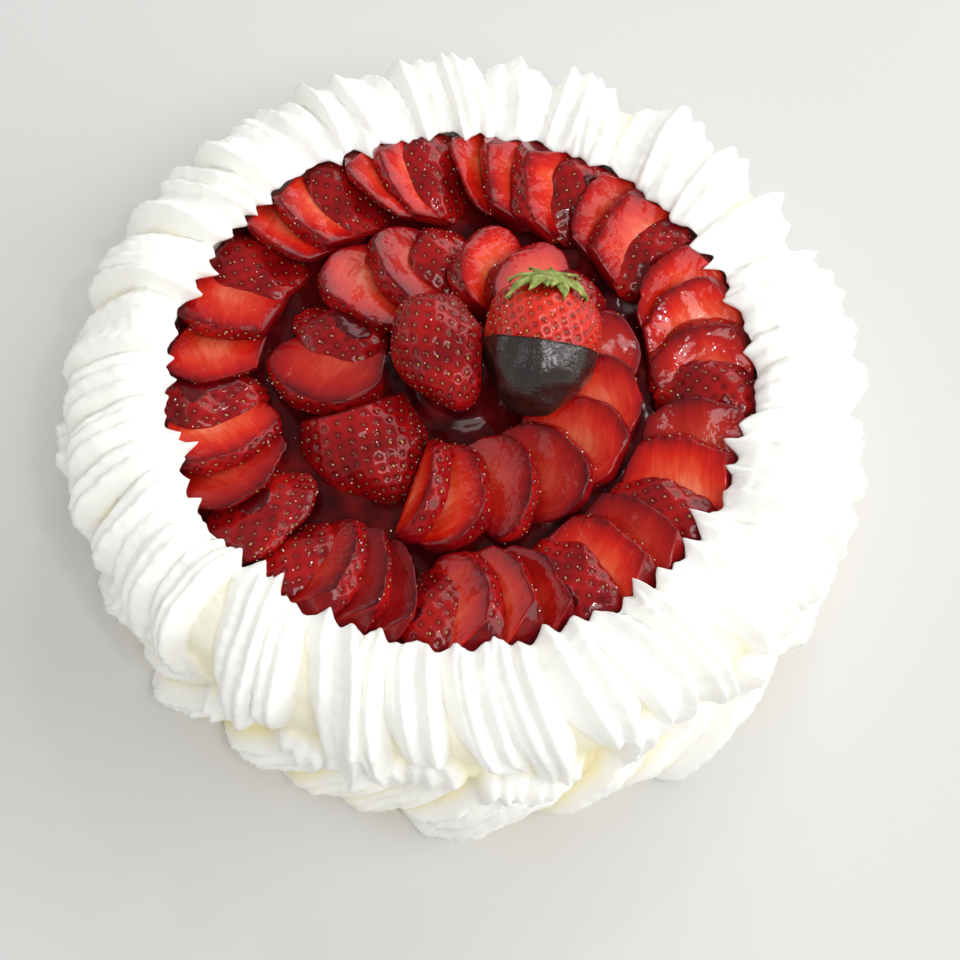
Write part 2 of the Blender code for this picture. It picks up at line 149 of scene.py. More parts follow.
def makeCutFlesh(name, tones):
    material, tree, body = startMaterial(name, {
        "Roughness": 0.45, "IOR": 1.37, "Specular IOR Level": 0.08, "Subsurface Weight": 0.12,
        "Subsurface Radius": (1.0, 0.12, 0.08), "Subsurface Scale": 0.002,
        "Coat Weight": 1.0, "Coat Roughness": 0.02, "Coat IOR": 1.31,
    })
    place = addNode(tree, "TexCoord")
    axes = addNode(tree, "SeparateXYZ", links={"Vector": place.outputs["Object"]})
    depth = addNode(tree, "Attribute", {"attribute_name": "fleshDepth"})
    # fibres run out from the core towards the seeds, about 1.7 mm apart, and slant towards the tip
    side = addNode(tree, "Math", {"operation": "ABSOLUTE"}, {0: axes.outputs["X"]})
    slant = addNode(tree, "Math", {"operation": "MULTIPLY_ADD", 1: 0.45},
                    {0: side.outputs[0], 2: axes.outputs["Z"]})
    short = addNode(tree, "Math", {"operation": "MULTIPLY", 1: 0.13}, {0: side.outputs[0]})
    run = addNode(tree, "CombineXYZ", {"Y": 0.0}, {"X": short.outputs[0], "Z": slant.outputs[0]})
    fibres = addNode(tree, "TexNoise", {"Scale": 1.0 / (1.7 * mm), "Detail": 2.0, "Distortion": 0.5},
                     {"Vector": run.outputs["Vector"]})
    cloud = addNode(tree, "TexNoise", {"Scale": 1.0 / (8.0 * mm), "Detail": 2.0},
                    {"Vector": place.outputs["Object"]})
    warped = addNode(tree, "Math", {"operation": "MULTIPLY_ADD", 1: 0.22},
                     {0: cloud.outputs["Fac"], 2: depth.outputs["Fac"]})
    streak = addNode(tree, "Math", {"operation": "MULTIPLY_ADD", 1: 0.36},
                     {0: fibres.outputs["Fac"], 2: warped.outputs[0]})
    colour = colourRamp(tree, streak.outputs[0], (
        (0.28, tones["rim"]), (0.48, tones["flesh"]), (0.66, tones["bright"]),
        (0.83, tones["halo"]), (0.97, tones["core"])))
    tree.links.new(colour, body.inputs["Base Color"])
    # the glaze lies in soft waves about 8 mm apart
    waves = addNode(tree, "TexNoise", {"Scale": 1.0 / (8.0 * mm), "Detail": 4.0, "Roughness": 0.45},
                    {"Vector": place.outputs["Object"]})
    coat = addNode(tree, "Bump", {"Strength": 0.65, "Distance": 0.0014}, {"Height": waves.outputs["Fac"]})
    grain = addNode(tree, "Bump", {"Strength": 0.4, "Distance": 0.0004}, {"Height": fibres.outputs["Fac"]})
    tree.links.new(coat.outputs["Normal"], body.inputs["Coat Normal"])
    tree.links.new(grain.outputs["Normal"], body.inputs["Normal"])
    return material


# strawberry skin under glaze: deep crimson, with painted shade in the pits round the seeds

def makeBerrySkin(name, tones, gloss):
    material, tree, body = startMaterial(name, {
        "Roughness": gloss["roughness"], "IOR": 1.38, "Specular IOR Level": gloss["sheen"],
        "Subsurface Weight": 0.08, "Subsurface Radius": (1.0, 0.12, 0.08), "Subsurface Scale": 0.0015,
        "Coat Weight": gloss["coat"], "Coat Roughness": 0.03, "Coat IOR": 1.32,
    })
    pit = addNode(tree, "Attribute", {"attribute_name": "pitDepth"})
    place = addNode(tree, "TexCoord")
    blush = addNode(tree, "TexNoise", {"Scale": 1.0 / (11.0 * mm), "Detail": 3.0},
                    {"Vector": place.outputs["Object"]})
    # painted shade: the pit mask darkens the colour in the pits round the seeds
    mixed = addNode(tree, "Math", {"operation": "MULTIPLY_ADD", 1: -0.5},
                    {0: pit.outputs["Fac"], 2: blush.outputs["Fac"]})
    colour = colourRamp(tree, mixed.outputs[0], (
        (0.08, tones["pit"]), (0.36, tones["deep"]), (0.66, tones["bright"])))
    tree.links.new(colour, body.inputs["Base Color"])
    waves = addNode(tree, "TexNoise", {"Scale": 1.0 / (6.0 * mm), "Detail": 3.5},
                    {"Vector": place.outputs["Object"]})
    coat = addNode(tree, "Bump", {"Strength": 0.5, "Distance": 0.0008}, {"Height": waves.outputs["Fac"]})
    tree.links.new(coat.outputs["Normal"], body.inputs["Coat Normal"])
    return material


# achenes: dry little seeds, straw-gold, wet with glaze

def makeSeedMaterial():
    material, tree, body = startMaterial("strawberrySeed", {
        "Roughness": 0.35, "IOR": 1.45, "Coat Weight": 0.5})
    place = addNode(tree, "TexCoord")
    mottle = addNode(tree, "TexNoise", {"Scale": 1.0 / (5.0 * mm)}, {"Vector": place.outputs["Object"]})
    colour = colourRamp(tree, mottle.outputs["Fac"], (
        (0.32, "#702416"), (0.49, "#A05A28"), (0.67, "#D0A04A")))
    tree.links.new(colour, body.inputs["Base Color"])
    return material


# air in the glaze: a thin-walled bead, wet on the outside; its coat catches real highlights, and its base
# colour, running up to near white, paints a glint on top

def makeBubbleGlintMaterial():
    material, tree, body = startMaterial("glazeBubble", {"Roughness": 0.1, "IOR": 1.42, "Coat Weight": 1.0,
                                                         "Coat Roughness": 0.02})
    place = addNode(tree, "TexCoord")
    tone = addNode(tree, "TexNoise", {"Scale": 1.0 / (4.0 * mm)}, {"Vector": place.outputs["Object"]})
    # the near-white end of the ramp is a painted highlight
    colour = colourRamp(tree, tone.outputs["Fac"], ((0.35, "#B8403C"), (0.5, "#E8B4AE"), (0.64, "#FFF8F6")))
    tree.links.new(colour, body.inputs["Base Color"])
    return material


# dark chocolate, dipped and set: nearly black brown, satin, faint waves where it ran

def makeDarkChocolate():
    material, tree, body = startMaterial("darkChocolate", {
        "Roughness": 0.45, "IOR": 1.4, "Specular IOR Level": 0.2,
        "Coat Weight": 1.0, "Coat Roughness": 0.16, "Coat IOR": 1.62,
    })
    place = addNode(tree, "TexCoord")
    tone = addNode(tree, "TexNoise", {"Scale": 1.0 / (9.0 * mm), "Detail": 3.0},
                   {"Vector": place.outputs["Object"]})
    colour = colourRamp(tree, tone.outputs["Fac"], ((0.3, "#1C0F0C"), (0.7, "#2E1B16")))
    tree.links.new(colour, body.inputs["Base Color"])
    ripple = addNode(tree, "TexNoise", {"Scale": 1.0 / (1.1 * mm), "Detail": 3.0},
                     {"Vector": place.outputs["Object"]})
    bump = addNode(tree, "Bump", {"Strength": 0.7, "Distance": 0.0004}, {"Height": ripple.outputs["Fac"]})
    tree.links.new(bump.outputs["Normal"], body.inputs["Normal"])
    tree.links.new(bump.outputs["Normal"], body.inputs["Coat Normal"])
    return material


# calyx leaf: matt green, mottled lighter and darker

def makeLeaf():
    material, tree, body = startMaterial("calyxLeaf", {
        "Roughness": 0.5, "IOR": 1.42, "Subsurface Weight": 0.1, "Subsurface Scale": 0.001})
    place = addNode(tree, "TexCoord")
    mottle = addNode(tree, "TexNoise", {"Scale": 1.0 / (3.0 * mm), "Detail": 4.0},
                     {"Vector": place.outputs["Object"]})
    colour = colourRamp(tree, mottle.outputs["Fac"], ((0.3, "#526022"), (0.5, "#869440"), (0.72, "#BCBE74")))
    tree.links.new(colour, body.inputs["Base Color"])
    bump = addNode(tree, "Bump", {"Strength": 0.5, "Distance": 0.0004}, {"Height": mottle.outputs["Fac"]})
    tree.links.new(bump.outputs["Normal"], body.inputs["Normal"])
    return material


# fruit jelly: clear dark red, poured, so it is smooth and softly bright between the slices

def makeJelly():
    material, tree, body = startMaterial("pouredJelly", {
        "Roughness": 0.13, "IOR": 1.34, "Specular IOR Level": 0.25})
    place = addNode(tree, "TexCoord")
    tone = addNode(tree, "TexNoise", {"Scale": 1.0 / (14.0 * mm), "Detail": 3.0},
                   {"Vector": place.outputs["Object"]})
    colour = colourRamp(tree, tone.outputs["Fac"], ((0.3, "#26040A"), (0.55, "#50080C"), (0.75, "#82120E")))
    tree.links.new(colour, body.inputs["Base Color"])
    return material


creamMaterial = makeWhippedCream()
fleshTones = (
    {"core": "#E06A4C", "halo": "#D23A20", "bright": "#C2180C", "flesh": "#A00A0A", "rim": "#66040C"},
    {"core": "#F08A68", "halo": "#E24C2A", "bright": "#D2200C", "flesh": "#B20C08", "rim": "#72060C"},
    {"core": "#C8442E", "halo": "#B82416", "bright": "#A4100C", "flesh": "#8A060A", "rim": "#58040A"},
    {"core": "#AA3028", "halo": "#981818", "bright": "#8A0A0E", "flesh": "#74050A", "rim": "#4C0308"},
)
fleshMaterials = [makeCutFlesh(f"cutStrawberry{n + 1}", tones) for n, tones in enumerate(fleshTones)]
# the pit tones paint shade into the seed pits
skinMaterial = makeBerrySkin("glazedSkin", {"pit": "#5E040A", "deep": "#80060D", "bright": "#AC1210"},
                             {"roughness": 0.45, "coat": 1.0, "sheen": 0.06})
drySkinMaterial = makeBerrySkin("freshSkin", {"pit": "#8A0A0C", "deep": "#C41A10", "bright": "#E03A22"},
                                {"roughness": 0.30, "coat": 0.5, "sheen": 0.4})
seedMaterial = makeSeedMaterial()
bubbleGlintMaterial = makeBubbleGlintMaterial()
chocolateMaterial = makeDarkChocolate()
leafMaterial = makeLeaf()
jellyMaterial = makeJelly()
print("materials made")


def addPiece(name, form, materials, nodes=(), matrix=None):
    # turns a form in mm into a piece in metres that rides with the cake
    mesh = bpy.data.meshes.new(name)
    bmesh.ops.transform(form, matrix=Matrix.Scale(mm, 4), verts=form.verts)
    form.to_mesh(mesh)
    form.free()
    for material in materials:
        mesh.materials.append(material)
    mesh.shade_smooth()
    item = bpy.data.objects.new(name, mesh)
    bpy.context.scene.collection.objects.link(item)
    if matrix is not None:
        place = matrix.copy()
        place.translation = matrix.translation * mm
        item.matrix_world = place
    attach(item, "root")
    if nodes:
        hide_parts(*nodes)
    return item


def polar(radius, angle, height=0.0):
    turn = math.radians(angle)
    return Vector((radius * math.cos(turn), radius * math.sin(turn), height))


# cream: star-nozzle strokes over the rim and down the side, a shorter slanting row below

cream = {
    "strokes": 43, "columns": 980, "rows": 98, "halfWidth": 0.64, "upperDepth": 9.0, "lowerDepth": 9.4,
    "sink": 5.0, "domeShare": 0.58, "ridgePlaces": (-0.62, -0.05, 0.55), "ridgeWidth": 0.42,
    "ridgeCurve": 1.2, "ridgeShift": 0.16, "twoRidges": 0.4, "tipPlaces": (-0.30, 0.22), "tipMissing": 0.2,
    "lowerStrokes": 36, "swellNoise": 1.5, "foldNoise": 1.1, "foamNoise": 0.35,
    "tipReach": 4.6, "tipHalfWidth": 0.27, "backLean": 2.6,
}
wellShift = Vector((-1.5, -3.0, 0.0))
# radius, height, turn about the axis, share of the well's shift, from the well to the base
creamRows = (
    (95.6, 65.0, 0.0, 1.0), (95.3, 78.0, 0.0, 1.0), (93.6, 82.0, 0.0, 1.0), (99.0, 84.0, 0.4, 0.9),
    (106.5, 84.6, 1.3, 0.7), (116.5, 81.0, 2.4, 0.4), (123.8, 74.0, 3.5, 0.2), (127.2, 63.0, 4.6, 0.0),
    (128.0, 48.0, 5.4, 0.0), (125.0, 33.0, 4.8, 0.0), (128.2, 23.5, 2.2, 0.0), (129.4, 12.0, -1.6, 0.0),
    (126.8, 0.0, -4.6, 0.0),
)


def drawStrokes(chance):
    return [
        {
            "depth": chance.uniform(0.65, 1.25),
            "reach": chance.uniform(0.2, 1.6),
            "swing": chance.uniform(-1.3, 1.3),
            "lift": chance.uniform(-1.0, 1.0),
        }
        for _ in range(cream["strokes"])
    ]


def smoothRows():
    # the profile from the well over the rim and down, with most rows where the strokes are
    table = np.array(creamRows)
    last = len(table) - 1
    hidden = np.linspace(0.0, 1.4, 4, endpoint=False)
    steps = np.concatenate((hidden, np.linspace(1.4, last, cream["rows"] - len(hidden))))
    curve = []
    for step in steps:
        low = min(int(step), last - 1)
        t = step - low
        p = [table[min(max(low + k, 0), last)] for k in (-1, 0, 1, 2)]
        curve.append(0.5 * (2 * p[1] + (p[2] - p[0]) * t + (2 * p[0] - 5 * p[1] + 4 * p[2] - p[3]) * t * t
                            + (3 * p[1] - p[0] - 3 * p[2] + p[3]) * t ** 3))
    return steps, np.array(curve)


def drawRidges(chance):
    # two or three ridges, never quite in the same places
    shift = cream["ridgeShift"]
    places = [place + chance.uniform(-shift, shift) for place in cream["ridgePlaces"]]
    if chance.random() < cream["twoRidges"]:
        places.pop(chance.randrange(3))
    return places


def starStroke(across, along, start, end, narrowing, tilt, ridgePlaces):
    # a line from a star nozzle: a soft dome with sharp ridges, one side riding up, pointed at its end
    u = np.clip((along - start) / (end - start), 0.0, 1.0)
    inside = (along > start) & (along < end)
    width = np.minimum(0.7 + u * 2.0, 1.0) * (1.0 - narrowing * u ** 2.4)
    x = across / np.maximum(width, 0.08)
    dome = np.clip(1.0 - np.abs(x) ** 2.3, 0.0, 1.0) ** 0.55
    ridges = np.zeros_like(x)
    for place in ridgePlaces:
        ridge = np.clip(1.0 - np.abs(x - place) / cream["ridgeWidth"], 0.0, 1.0)
        ridges = np.maximum(ridges, ridge ** cream["ridgeCurve"])
    fade = np.clip(u / 0.05, 0.0, 1.0) * np.clip((1.0 - u) / 0.25, 0.0, 1.0) ** 0.7
    share = cream["domeShare"]
    height = (share * dome + (1.0 - share) * ridges * dome ** 0.4) * (1.0 + tilt * x) * fade
    return np.where(inside, height, 0.0)


def layStrokes(strokes, chance, stepGrid, angleGrid):
    pitch = 360.0 / cream["strokes"]
    upper = np.zeros_like(stepGrid)
    lower = np.zeros_like(stepGrid)
    lift = np.zeros_like(stepGrid)
    tips = np.zeros_like(stepGrid)
    for number, stroke in enumerate(strokes):
        centre = (number + 0.5 + chance.uniform(-0.22, 0.22)) * pitch
        swing = stroke["swing"] * 1.9 + 0.5
        bend = swing * np.sin(np.clip((stepGrid - 2.0) / 6.5, 0.0, 1.0) * math.pi)
        bend -= chance.uniform(-0.6, 2.6) * np.clip((stepGrid - 6.0) / 4.0, 0.0, 1.0)
        away = (angleGrid - centre - bend + 180.0) % 360.0 - 180.0
        end = 9.0 + stroke["lift"] * 1.2 + chance.uniform(-1.2, 1.4)
        wide = cream["halfWidth"] * chance.uniform(0.85, 1.4)
        made = starStroke(away / (pitch * wide), stepGrid, 1.5, end, chance.uniform(0.5, 0.9),
                          chance.uniform(0.1, 0.6), drawRidges(chance))
        made = made * (0.55 + 0.45 * stroke["depth"])
        lift = np.where(made > upper, stroke["lift"], lift)
        upper = np.maximum(upper, made)
        # the ridges leave pointed tips over the fruit
        for side in cream["tipPlaces"]:
            if chance.random() < cream["tipMissing"]:
                continue
            middle = side + chance.uniform(-0.1, 0.1)
            half = cream["tipHalfWidth"] * chance.uniform(0.75, 1.6)
            point = np.clip(1.0 - np.abs(away / pitch - middle) / half, 0.0, 1.0)
            reach = cream["tipReach"] * (0.35 + 0.75 * stroke["reach"]) * chance.uniform(0.35, 1.35)
            tips = np.maximum(tips, point ** chance.uniform(0.9, 1.3) * reach)
    lowerPitch = 360.0 / cream["lowerStrokes"]
    for number in range(cream["lowerStrokes"]):
        centre = (number + 0.1 + chance.uniform(-0.28, 0.28)) * lowerPitch
        hook = -chance.uniform(3.0, 9.0) * np.clip((stepGrid - 8.4) / 3.2, 0.0, 1.3) ** 1.5
        away = (angleGrid - centre - hook + 180.0) % 360.0 - 180.0
        start = chance.uniform(6.4, 8.8)
        wide = cream["halfWidth"] * chance.uniform(0.65, 1.05)
        made = starStroke(away / (lowerPitch * wide), stepGrid, start, chance.uniform(11.6, 13.4),
                          chance.uniform(0.2, 0.6), chance.uniform(-0.6, 0.1), drawRidges(chance))
        lower = np.maximum(lower, made * chance.uniform(0.6, 1.2))
    return upper, lower, lift, tips


def makeCream(strokes, chance):
    steps, rows = smoothRows()
    columns = cream["columns"]
    angles = np.arange(columns) * 360.0 / columns
    stepGrid, angleGrid = np.meshgrid(steps, angles, indexing="ij")
    upper, lower, lift, tips = layStrokes(strokes, chance, stepGrid, angleGrid)
    along = np.gradient(rows[:, :2], axis=0)
    along /= np.linalg.norm(along, axis=1)[:, None]
    form = bmesh.new()
    foldShadeLayer = form.verts.layers.float.new("foldHeight")
    grid = []
    for r, (radius, height, turn, shift) in enumerate(rows):
        step = steps[r]
        fade = min(max((step - 1.6) / 1.2, 0.0), 1.0)
        foot = min(max((12.0 - step) / 0.5, 0.0), 1.0) * 0.6 + 0.4
        tipFade = max(1.0 - abs(step - 2.1) / 1.0, 0.0) ** 0.8
        line = []
        for c in range(columns):
            raised = upper[r][c] * cream["upperDepth"]
            if step > 6.4:
                raised = max(raised, lower[r][c] * cream["lowerDepth"])
            angle = angles[c] + turn
            flat = polar(radius, angle, height)
            rough = noise.noise(flat * 0.08) * cream["foldNoise"]
            rough += noise.noise(flat * 0.035) * cream["swellNoise"]
            rough += noise.noise(flat * 0.42) * cream["foamNoise"] * (0.5 + 0.12 * raised)
            grow = (raised - cream["sink"] + rough * 1.5) * fade * foot
            # the rim leans in over the fruit at the back
            backward = max(math.sin(math.radians(angle)), 0.0) * cream["backLean"] * tipFade
            reach = radius - along[r][1] * grow - tips[r][c] * tipFade - backward
            level = height + along[r][0] * grow + tips[r][c] * tipFade * 0.16 + lift[r][c] * fade * foot * 0.7
            if step >= 11.95 or step < 0.02:
                level = height
            vert = form.verts.new(polar(reach, angle, max(level, 0.0)) + wellShift * shift)
            # the fold mask for the painted shade: low in the grooves, high on the ridges
            vert[foldShadeLayer] = min(max(raised * 0.13 * fade + 0.5 * (1.0 - fade), 0.0), 1.0)
            line.append(vert)
        grid.append(line)
    for upperLine, lowerLine in zip(grid, grid[1:]):
        for c in range(columns):
            n = (c + 1) % columns
            form.faces.new((upperLine[c], lowerLine[c], lowerLine[n], upperLine[n]))
    form.faces.new(grid[0])
    form.faces.new(grid[-1][::-1])
    addPiece("pipedCream", form, [creamMaterial], ["cake"])


chance = random.Random(7)
strokes = drawStrokes(chance)
makeCream(strokes, random.Random(21))
print("cream piped")


# strawberries: one berry form for all of them, with seeds set in pits

berry = {
    "sides": 112, "rings": 60, "shoulder": 2.6, "tip": 2.0, "dippedTip": 2.5,
    "seedArea": 15.0, "pitDepth": 0.44, "pitWidth": 0.95, "crown": 0.10,
    "seedSize": (0.42, 0.26, 0.66), "seedSink": 0.36, "lump": 1.7, "lumpScale": 0.10,
}
bedTop = 68.5
moundTop = 74.0
seatShare = 0.42               # share of its width by which a leaning slice's middle is raised


def berryShare(level, tip):
    fullness = berry["shoulder"] if level > 0.0 else tip
    roundPart = math.sqrt(max(1.0 - abs(level) ** fullness, 0.0))
    return roundPart * (1.0 + 0.17 * level - 0.10 * level * level)


def addLump(spot, size, phase):
    # no berry is a smooth egg: soft lumps about a centimetre across
    away = Vector([spot[n] / size[(1, 2, 0)[n]] ** 2 for n in range(3)]).normalized()
    swell = noise.noise((spot + Vector((phase * 40.0, 0.0, 0.0))) * berry["lumpScale"])
    return spot + away * swell * berry["lump"]


def seedPlaces(size, tip, phase, area):
    # seeds wind round the berry by the golden angle, as they do on a real one
    length, width, depth = size
    count = int(math.pi * (width + depth) / 2.0 * length * 0.92 / area)
    places = []
    for k in range(count):
        level = -0.94 + 1.82 * (k + 0.5) / count
        turn = k * math.radians(137.508) + phase
        share = berryShare(level, tip)
        across, deep = share * width / 2.0, share * depth / 2.0
        spot = Vector((across * math.cos(turn), deep * math.sin(turn), level * length / 2.0))
        slope = (berryShare(min(level + 0.02, 1.0), tip) - berryShare(level - 0.02, tip)) / 0.04
        normal = Vector((math.cos(turn) / width, math.sin(turn) / depth, -slope * share * 0.5 / length))
        places.append((addLump(spot, size, phase), normal.normalized()))
    return places


def berryForm(size, tip=None, phase=0.0, low=-99.0, high=99.0, finer=1, area=None):
    tip = berry["tip"] if tip is None else tip
    length, width, depth = size
    form = bmesh.new()
    sides, rings = berry["sides"] * finer, berry["rings"] * finer
    bmesh.ops.create_uvsphere(form, u_segments=sides, v_segments=rings, radius=1.0)
    pitLayer = form.verts.layers.float.new("pitDepth")
    seeds = seedPlaces(size, tip, phase, area or berry["seedArea"])
    tree = kdtree.KDTree(len(seeds))
    for number, (spot, normal) in enumerate(seeds):
        tree.insert(spot, number)
    tree.balance()
    for vert in form.verts:
        level = vert.co.z
        spread = berryShare(level, tip) / math.sqrt(max(1.0 - level * level, 1e-9))
        vert.co.x *= spread * width / 2.0
        vert.co.y *= spread * depth / 2.0
        vert.co.z *= length / 2.0
        vert.co = addLump(vert.co, size, phase)
        if low - 3.0 < vert.co.y < high + 3.0:
            spot, number, away = tree.find(vert.co)
            pit = math.exp(-(away / berry["pitWidth"]) ** 2)
            crown = berry["crown"] * (1.0 - math.exp(-(away / 2.2) ** 2))
            vert.co += seeds[number][1] * (crown - pit * berry["pitDepth"])
            # the same pit mask paints shade into the pits, in the skin material
            vert[pitLayer] = pit
    return form, seeds


def markDepth(form, size):
    # how far each point lies under the skin, as a share of a berry's half width
    layer = form.verts.layers.float.new("fleshDepth")
    length, width, depth = size
    for vert in form.verts:
        level = min(max(vert.co.z / (length / 2.0), -0.999), 0.999)
        share = max(berryShare(level, berry["tip"]), 0.02)
        across = math.hypot(vert.co.x / (width / 2.0), vert.co.y / (depth / 2.0))
        sideways = max(share * share - across * across, 0.0) / share
        endways = (1.0 + level) * (1.3 - level) * 1.15
        vert[layer] = 0.78 * sideways * endways / max(math.hypot(sideways, endways), 1e-6)


cutFace = {
    "smallest": 12.0, "lowestTilt": -0.1, "sharpAngle": 62.0,
    "rim": ((0.10, 0.20), (0.35, 0.38), (0.95, 0.48)), "rings": (0.84, 0.68, 0.52, 0.36, 0.2, 0.08),
    "wave": 0.7, "waveScale": 0.11, "crownRoom": 1.5,
}


def cutAway(form, point, normal, slotIndex=1):
    everything = form.verts[:] + form.edges[:] + form.faces[:]
    bmesh.ops.bisect_plane(form, geom=everything, dist=0.01, plane_co=point, plane_no=normal,
                           clear_outer=True)
    rim = [edge for edge in form.edges if edge.is_boundary]
    if rim:
        made = bmesh.ops.edgeloop_fill(form, edges=rim)
        for face in made["faces"]:
            face.material_index = slotIndex


def roundCuts(form):
    # glaze rounds the rim of each cut face and lies on it in soft waves
    smallest = cutFace["smallest"]
    caps = [face for face in form.faces if face.material_index == 1 and face.calc_area() > smallest]
    for face in caps:
        normal = face.normal.copy()
        if normal.z < cutFace["lowestTilt"]:
            continue
        centre = face.calc_center_median_weighted()
        line = list(face.verts)
        form.faces.remove(face)
        rim = [vert.co - centre for vert in line]
        rows = [(1.0, inset, rise) for inset, rise in cutFace["rim"]]
        lastInset, lastRise = cutFace["rim"][-1]
        rows += [(share, lastInset * share, lastRise) for share in cutFace["rings"]]
        for share, inset, rise in rows:
            fresh = []
            for away in rim:
                spot = centre + away * share * max(1.0 - inset / max(away.length, 0.1), 0.1)
                wave = noise.noise(spot * cutFace["waveScale"]) * cutFace["wave"] * (1.0 - share ** 6)
                fresh.append(form.verts.new(spot + normal * (rise + wave)))
            for n in range(len(line)):
                m = (n + 1) % len(line)
                made = form.faces.new((line[n], line[m], fresh[m], fresh[n]))
                made.material_index = 1
            line = fresh
        form.faces.new(line).material_index = 1
    for edge in form.edges:
        edge.smooth = edge.calc_face_angle(0.0) < math.radians(cutFace["sharpAngle"])


def ringFrame(angle, radius, height, tilt, tipOut=False, yaw=0.0):
    outward = polar(1.0, angle + yaw)
    around = polar(1.0, angle + yaw + 90.0)
    lean = math.radians(tilt)
    rise = around * math.cos(lean) + up * math.sin(lean)
    face = up * math.cos(lean) - around * math.sin(lean)
    if tipOut:
        outward = -outward
        rise = -rise
    place = Matrix((rise, face, outward)).transposed().to_4x4()
    place.translation = polar(radius, angle, height)
    return place, face


allSeeds = []      # seed place, outward direction and the berry's long axis, in the cake's frame, mm


def seedStays(spot, cuts):
    # a seed goes with the cut when it lies within half a millimetre of it
    return all((spot - point).dot(direction) < -0.5 for point, direction in cuts)


class StrawberrySlice:
    def __init__(self, size, low, high, place, face, phase):
        self.face = face
        self.centre = place.translation.copy()
        self.size = size
        self.skinUp = high >= size[2] / 2.0
        self.form, seeds = berryForm(size, phase=phase, low=low, high=high)
        self.cuts = []
        shift = Matrix.Translation((0.0, -(low + high) / 2.0, 0.0))
        self.matrix = place @ shift
        bmesh.ops.transform(self.form, matrix=self.matrix, verts=self.form.verts)
        turn = self.matrix.to_3x3()
        self.seeds = [(self.matrix @ spot, turn @ normal) for spot, normal in seeds]
        if not self.skinUp:
            self.cut(self.matrix @ Vector((0.0, high, 0.0)), turn @ Vector((0.0, 1.0, 0.0)))
        self.cut(self.matrix @ Vector((0.0, low, 0.0)), turn @ Vector((0.0, -1.0, 0.0)))
        self.cut(Vector((0.0, 0.0, bedTop + gap)), -up)

    def cut(self, point, normal, slotIndex=1):
        cutAway(self.form, point, normal, slotIndex)
        self.cuts.append((point.copy(), normal.copy()))

    def finish(self, name, flesh):
        roundCuts(self.form)
        axis = self.matrix.to_3x3() @ Vector((0.0, 0.0, 1.0))
        for spot, normal in self.seeds:
            if seedStays(spot, self.cuts):
                allSeeds.append((spot + wellShift, normal, axis))
        place = Matrix.Translation(wellShift) @ self.matrix
        bmesh.ops.transform(self.form, matrix=self.matrix.inverted(), verts=self.form.verts)
        markDepth(self.form, self.size)
        addPiece(name + "_glazed", self.form, [skinMaterial, flesh], [name], place)


def partNeighbours(above, below):
    # the upper slice is trimmed underneath; the lower keeps its face, and a skin crown only loses its height
    middle = (above.centre + below.centre) / 2.0
    normal = (above.face + below.face).normalized()
    above.cut(middle + normal * gap / 2.0, -normal)
    if below.skinUp:
        below.cut(middle + normal * cutFace["crownRoom"], normal)


# outer ring: each fan is one sliced berry, the slices leaning like fallen dominoes

outerRing = {"radius": 77.6, "length": 41.0, "thickness": 5.8, "spread": 4.0, "crown": 0.7}
outerTrim = {"outside": 93.6, "lipRadius": 91.2, "lipHeight": 80.5, "slope": 52.0}
# first and last angle, number of slices, tilt, width, radius of the inner end
outerFans = (
    (1.0, 30.0, 4, 28.0, 32.0, 60.5), (39.0, 57.0, 3, 31.0, 31.0, 61.5),
    (65.0, 91.0, 4, 33.0, 31.0, 61.0), (100.0, 116.0, 3, 33.0, 31.0, 61.0),
    (124.0, 143.0, 3, 29.0, 31.0, 63.5), (154.0, 181.0, 3, 19.0, 34.0, 64.5),
    (191.0, 213.0, 3, 23.0, 34.0, 58.5), (225.0, 225.0, 1, 26.0, 34.0, 57.5),
    (236.0, 260.0, 4, 33.0, 30.0, 59.0), (268.0, 292.0, 4, 35.0, 30.0, 61.0),
    (300.0, 319.0, 3, 31.0, 31.0, 60.5), (328.0, 350.0, 3, 29.0, 32.0, 60.5),
)

# which flesh tone each slice has: 0 red, 1 orange, 2 deep, 3 dark under thick glaze; the tones differ from
# berry to berry, and the deep and dark ones are also set on more of the slices at the left and lower left,
# which paints the shade there
outerTones = (1, 0, 1, 1, 2, 1, 0, 3, 1, 0, 1, 3, 1, 0, 2, 1, 0, 3, 0, 0,
              2, 1, 2, 3, 3, 2, 3, 3, 3, 0, 0, 2, 3, 1, 2, 3, 1, 2)


def trimEnds(item, angle, inside, outside):
    # the ends keep the look of skin
    outward = polar(1.0, angle)
    item.cut(outward * inside, -outward, 0)
    item.cut(outward * outside, outward, 0)


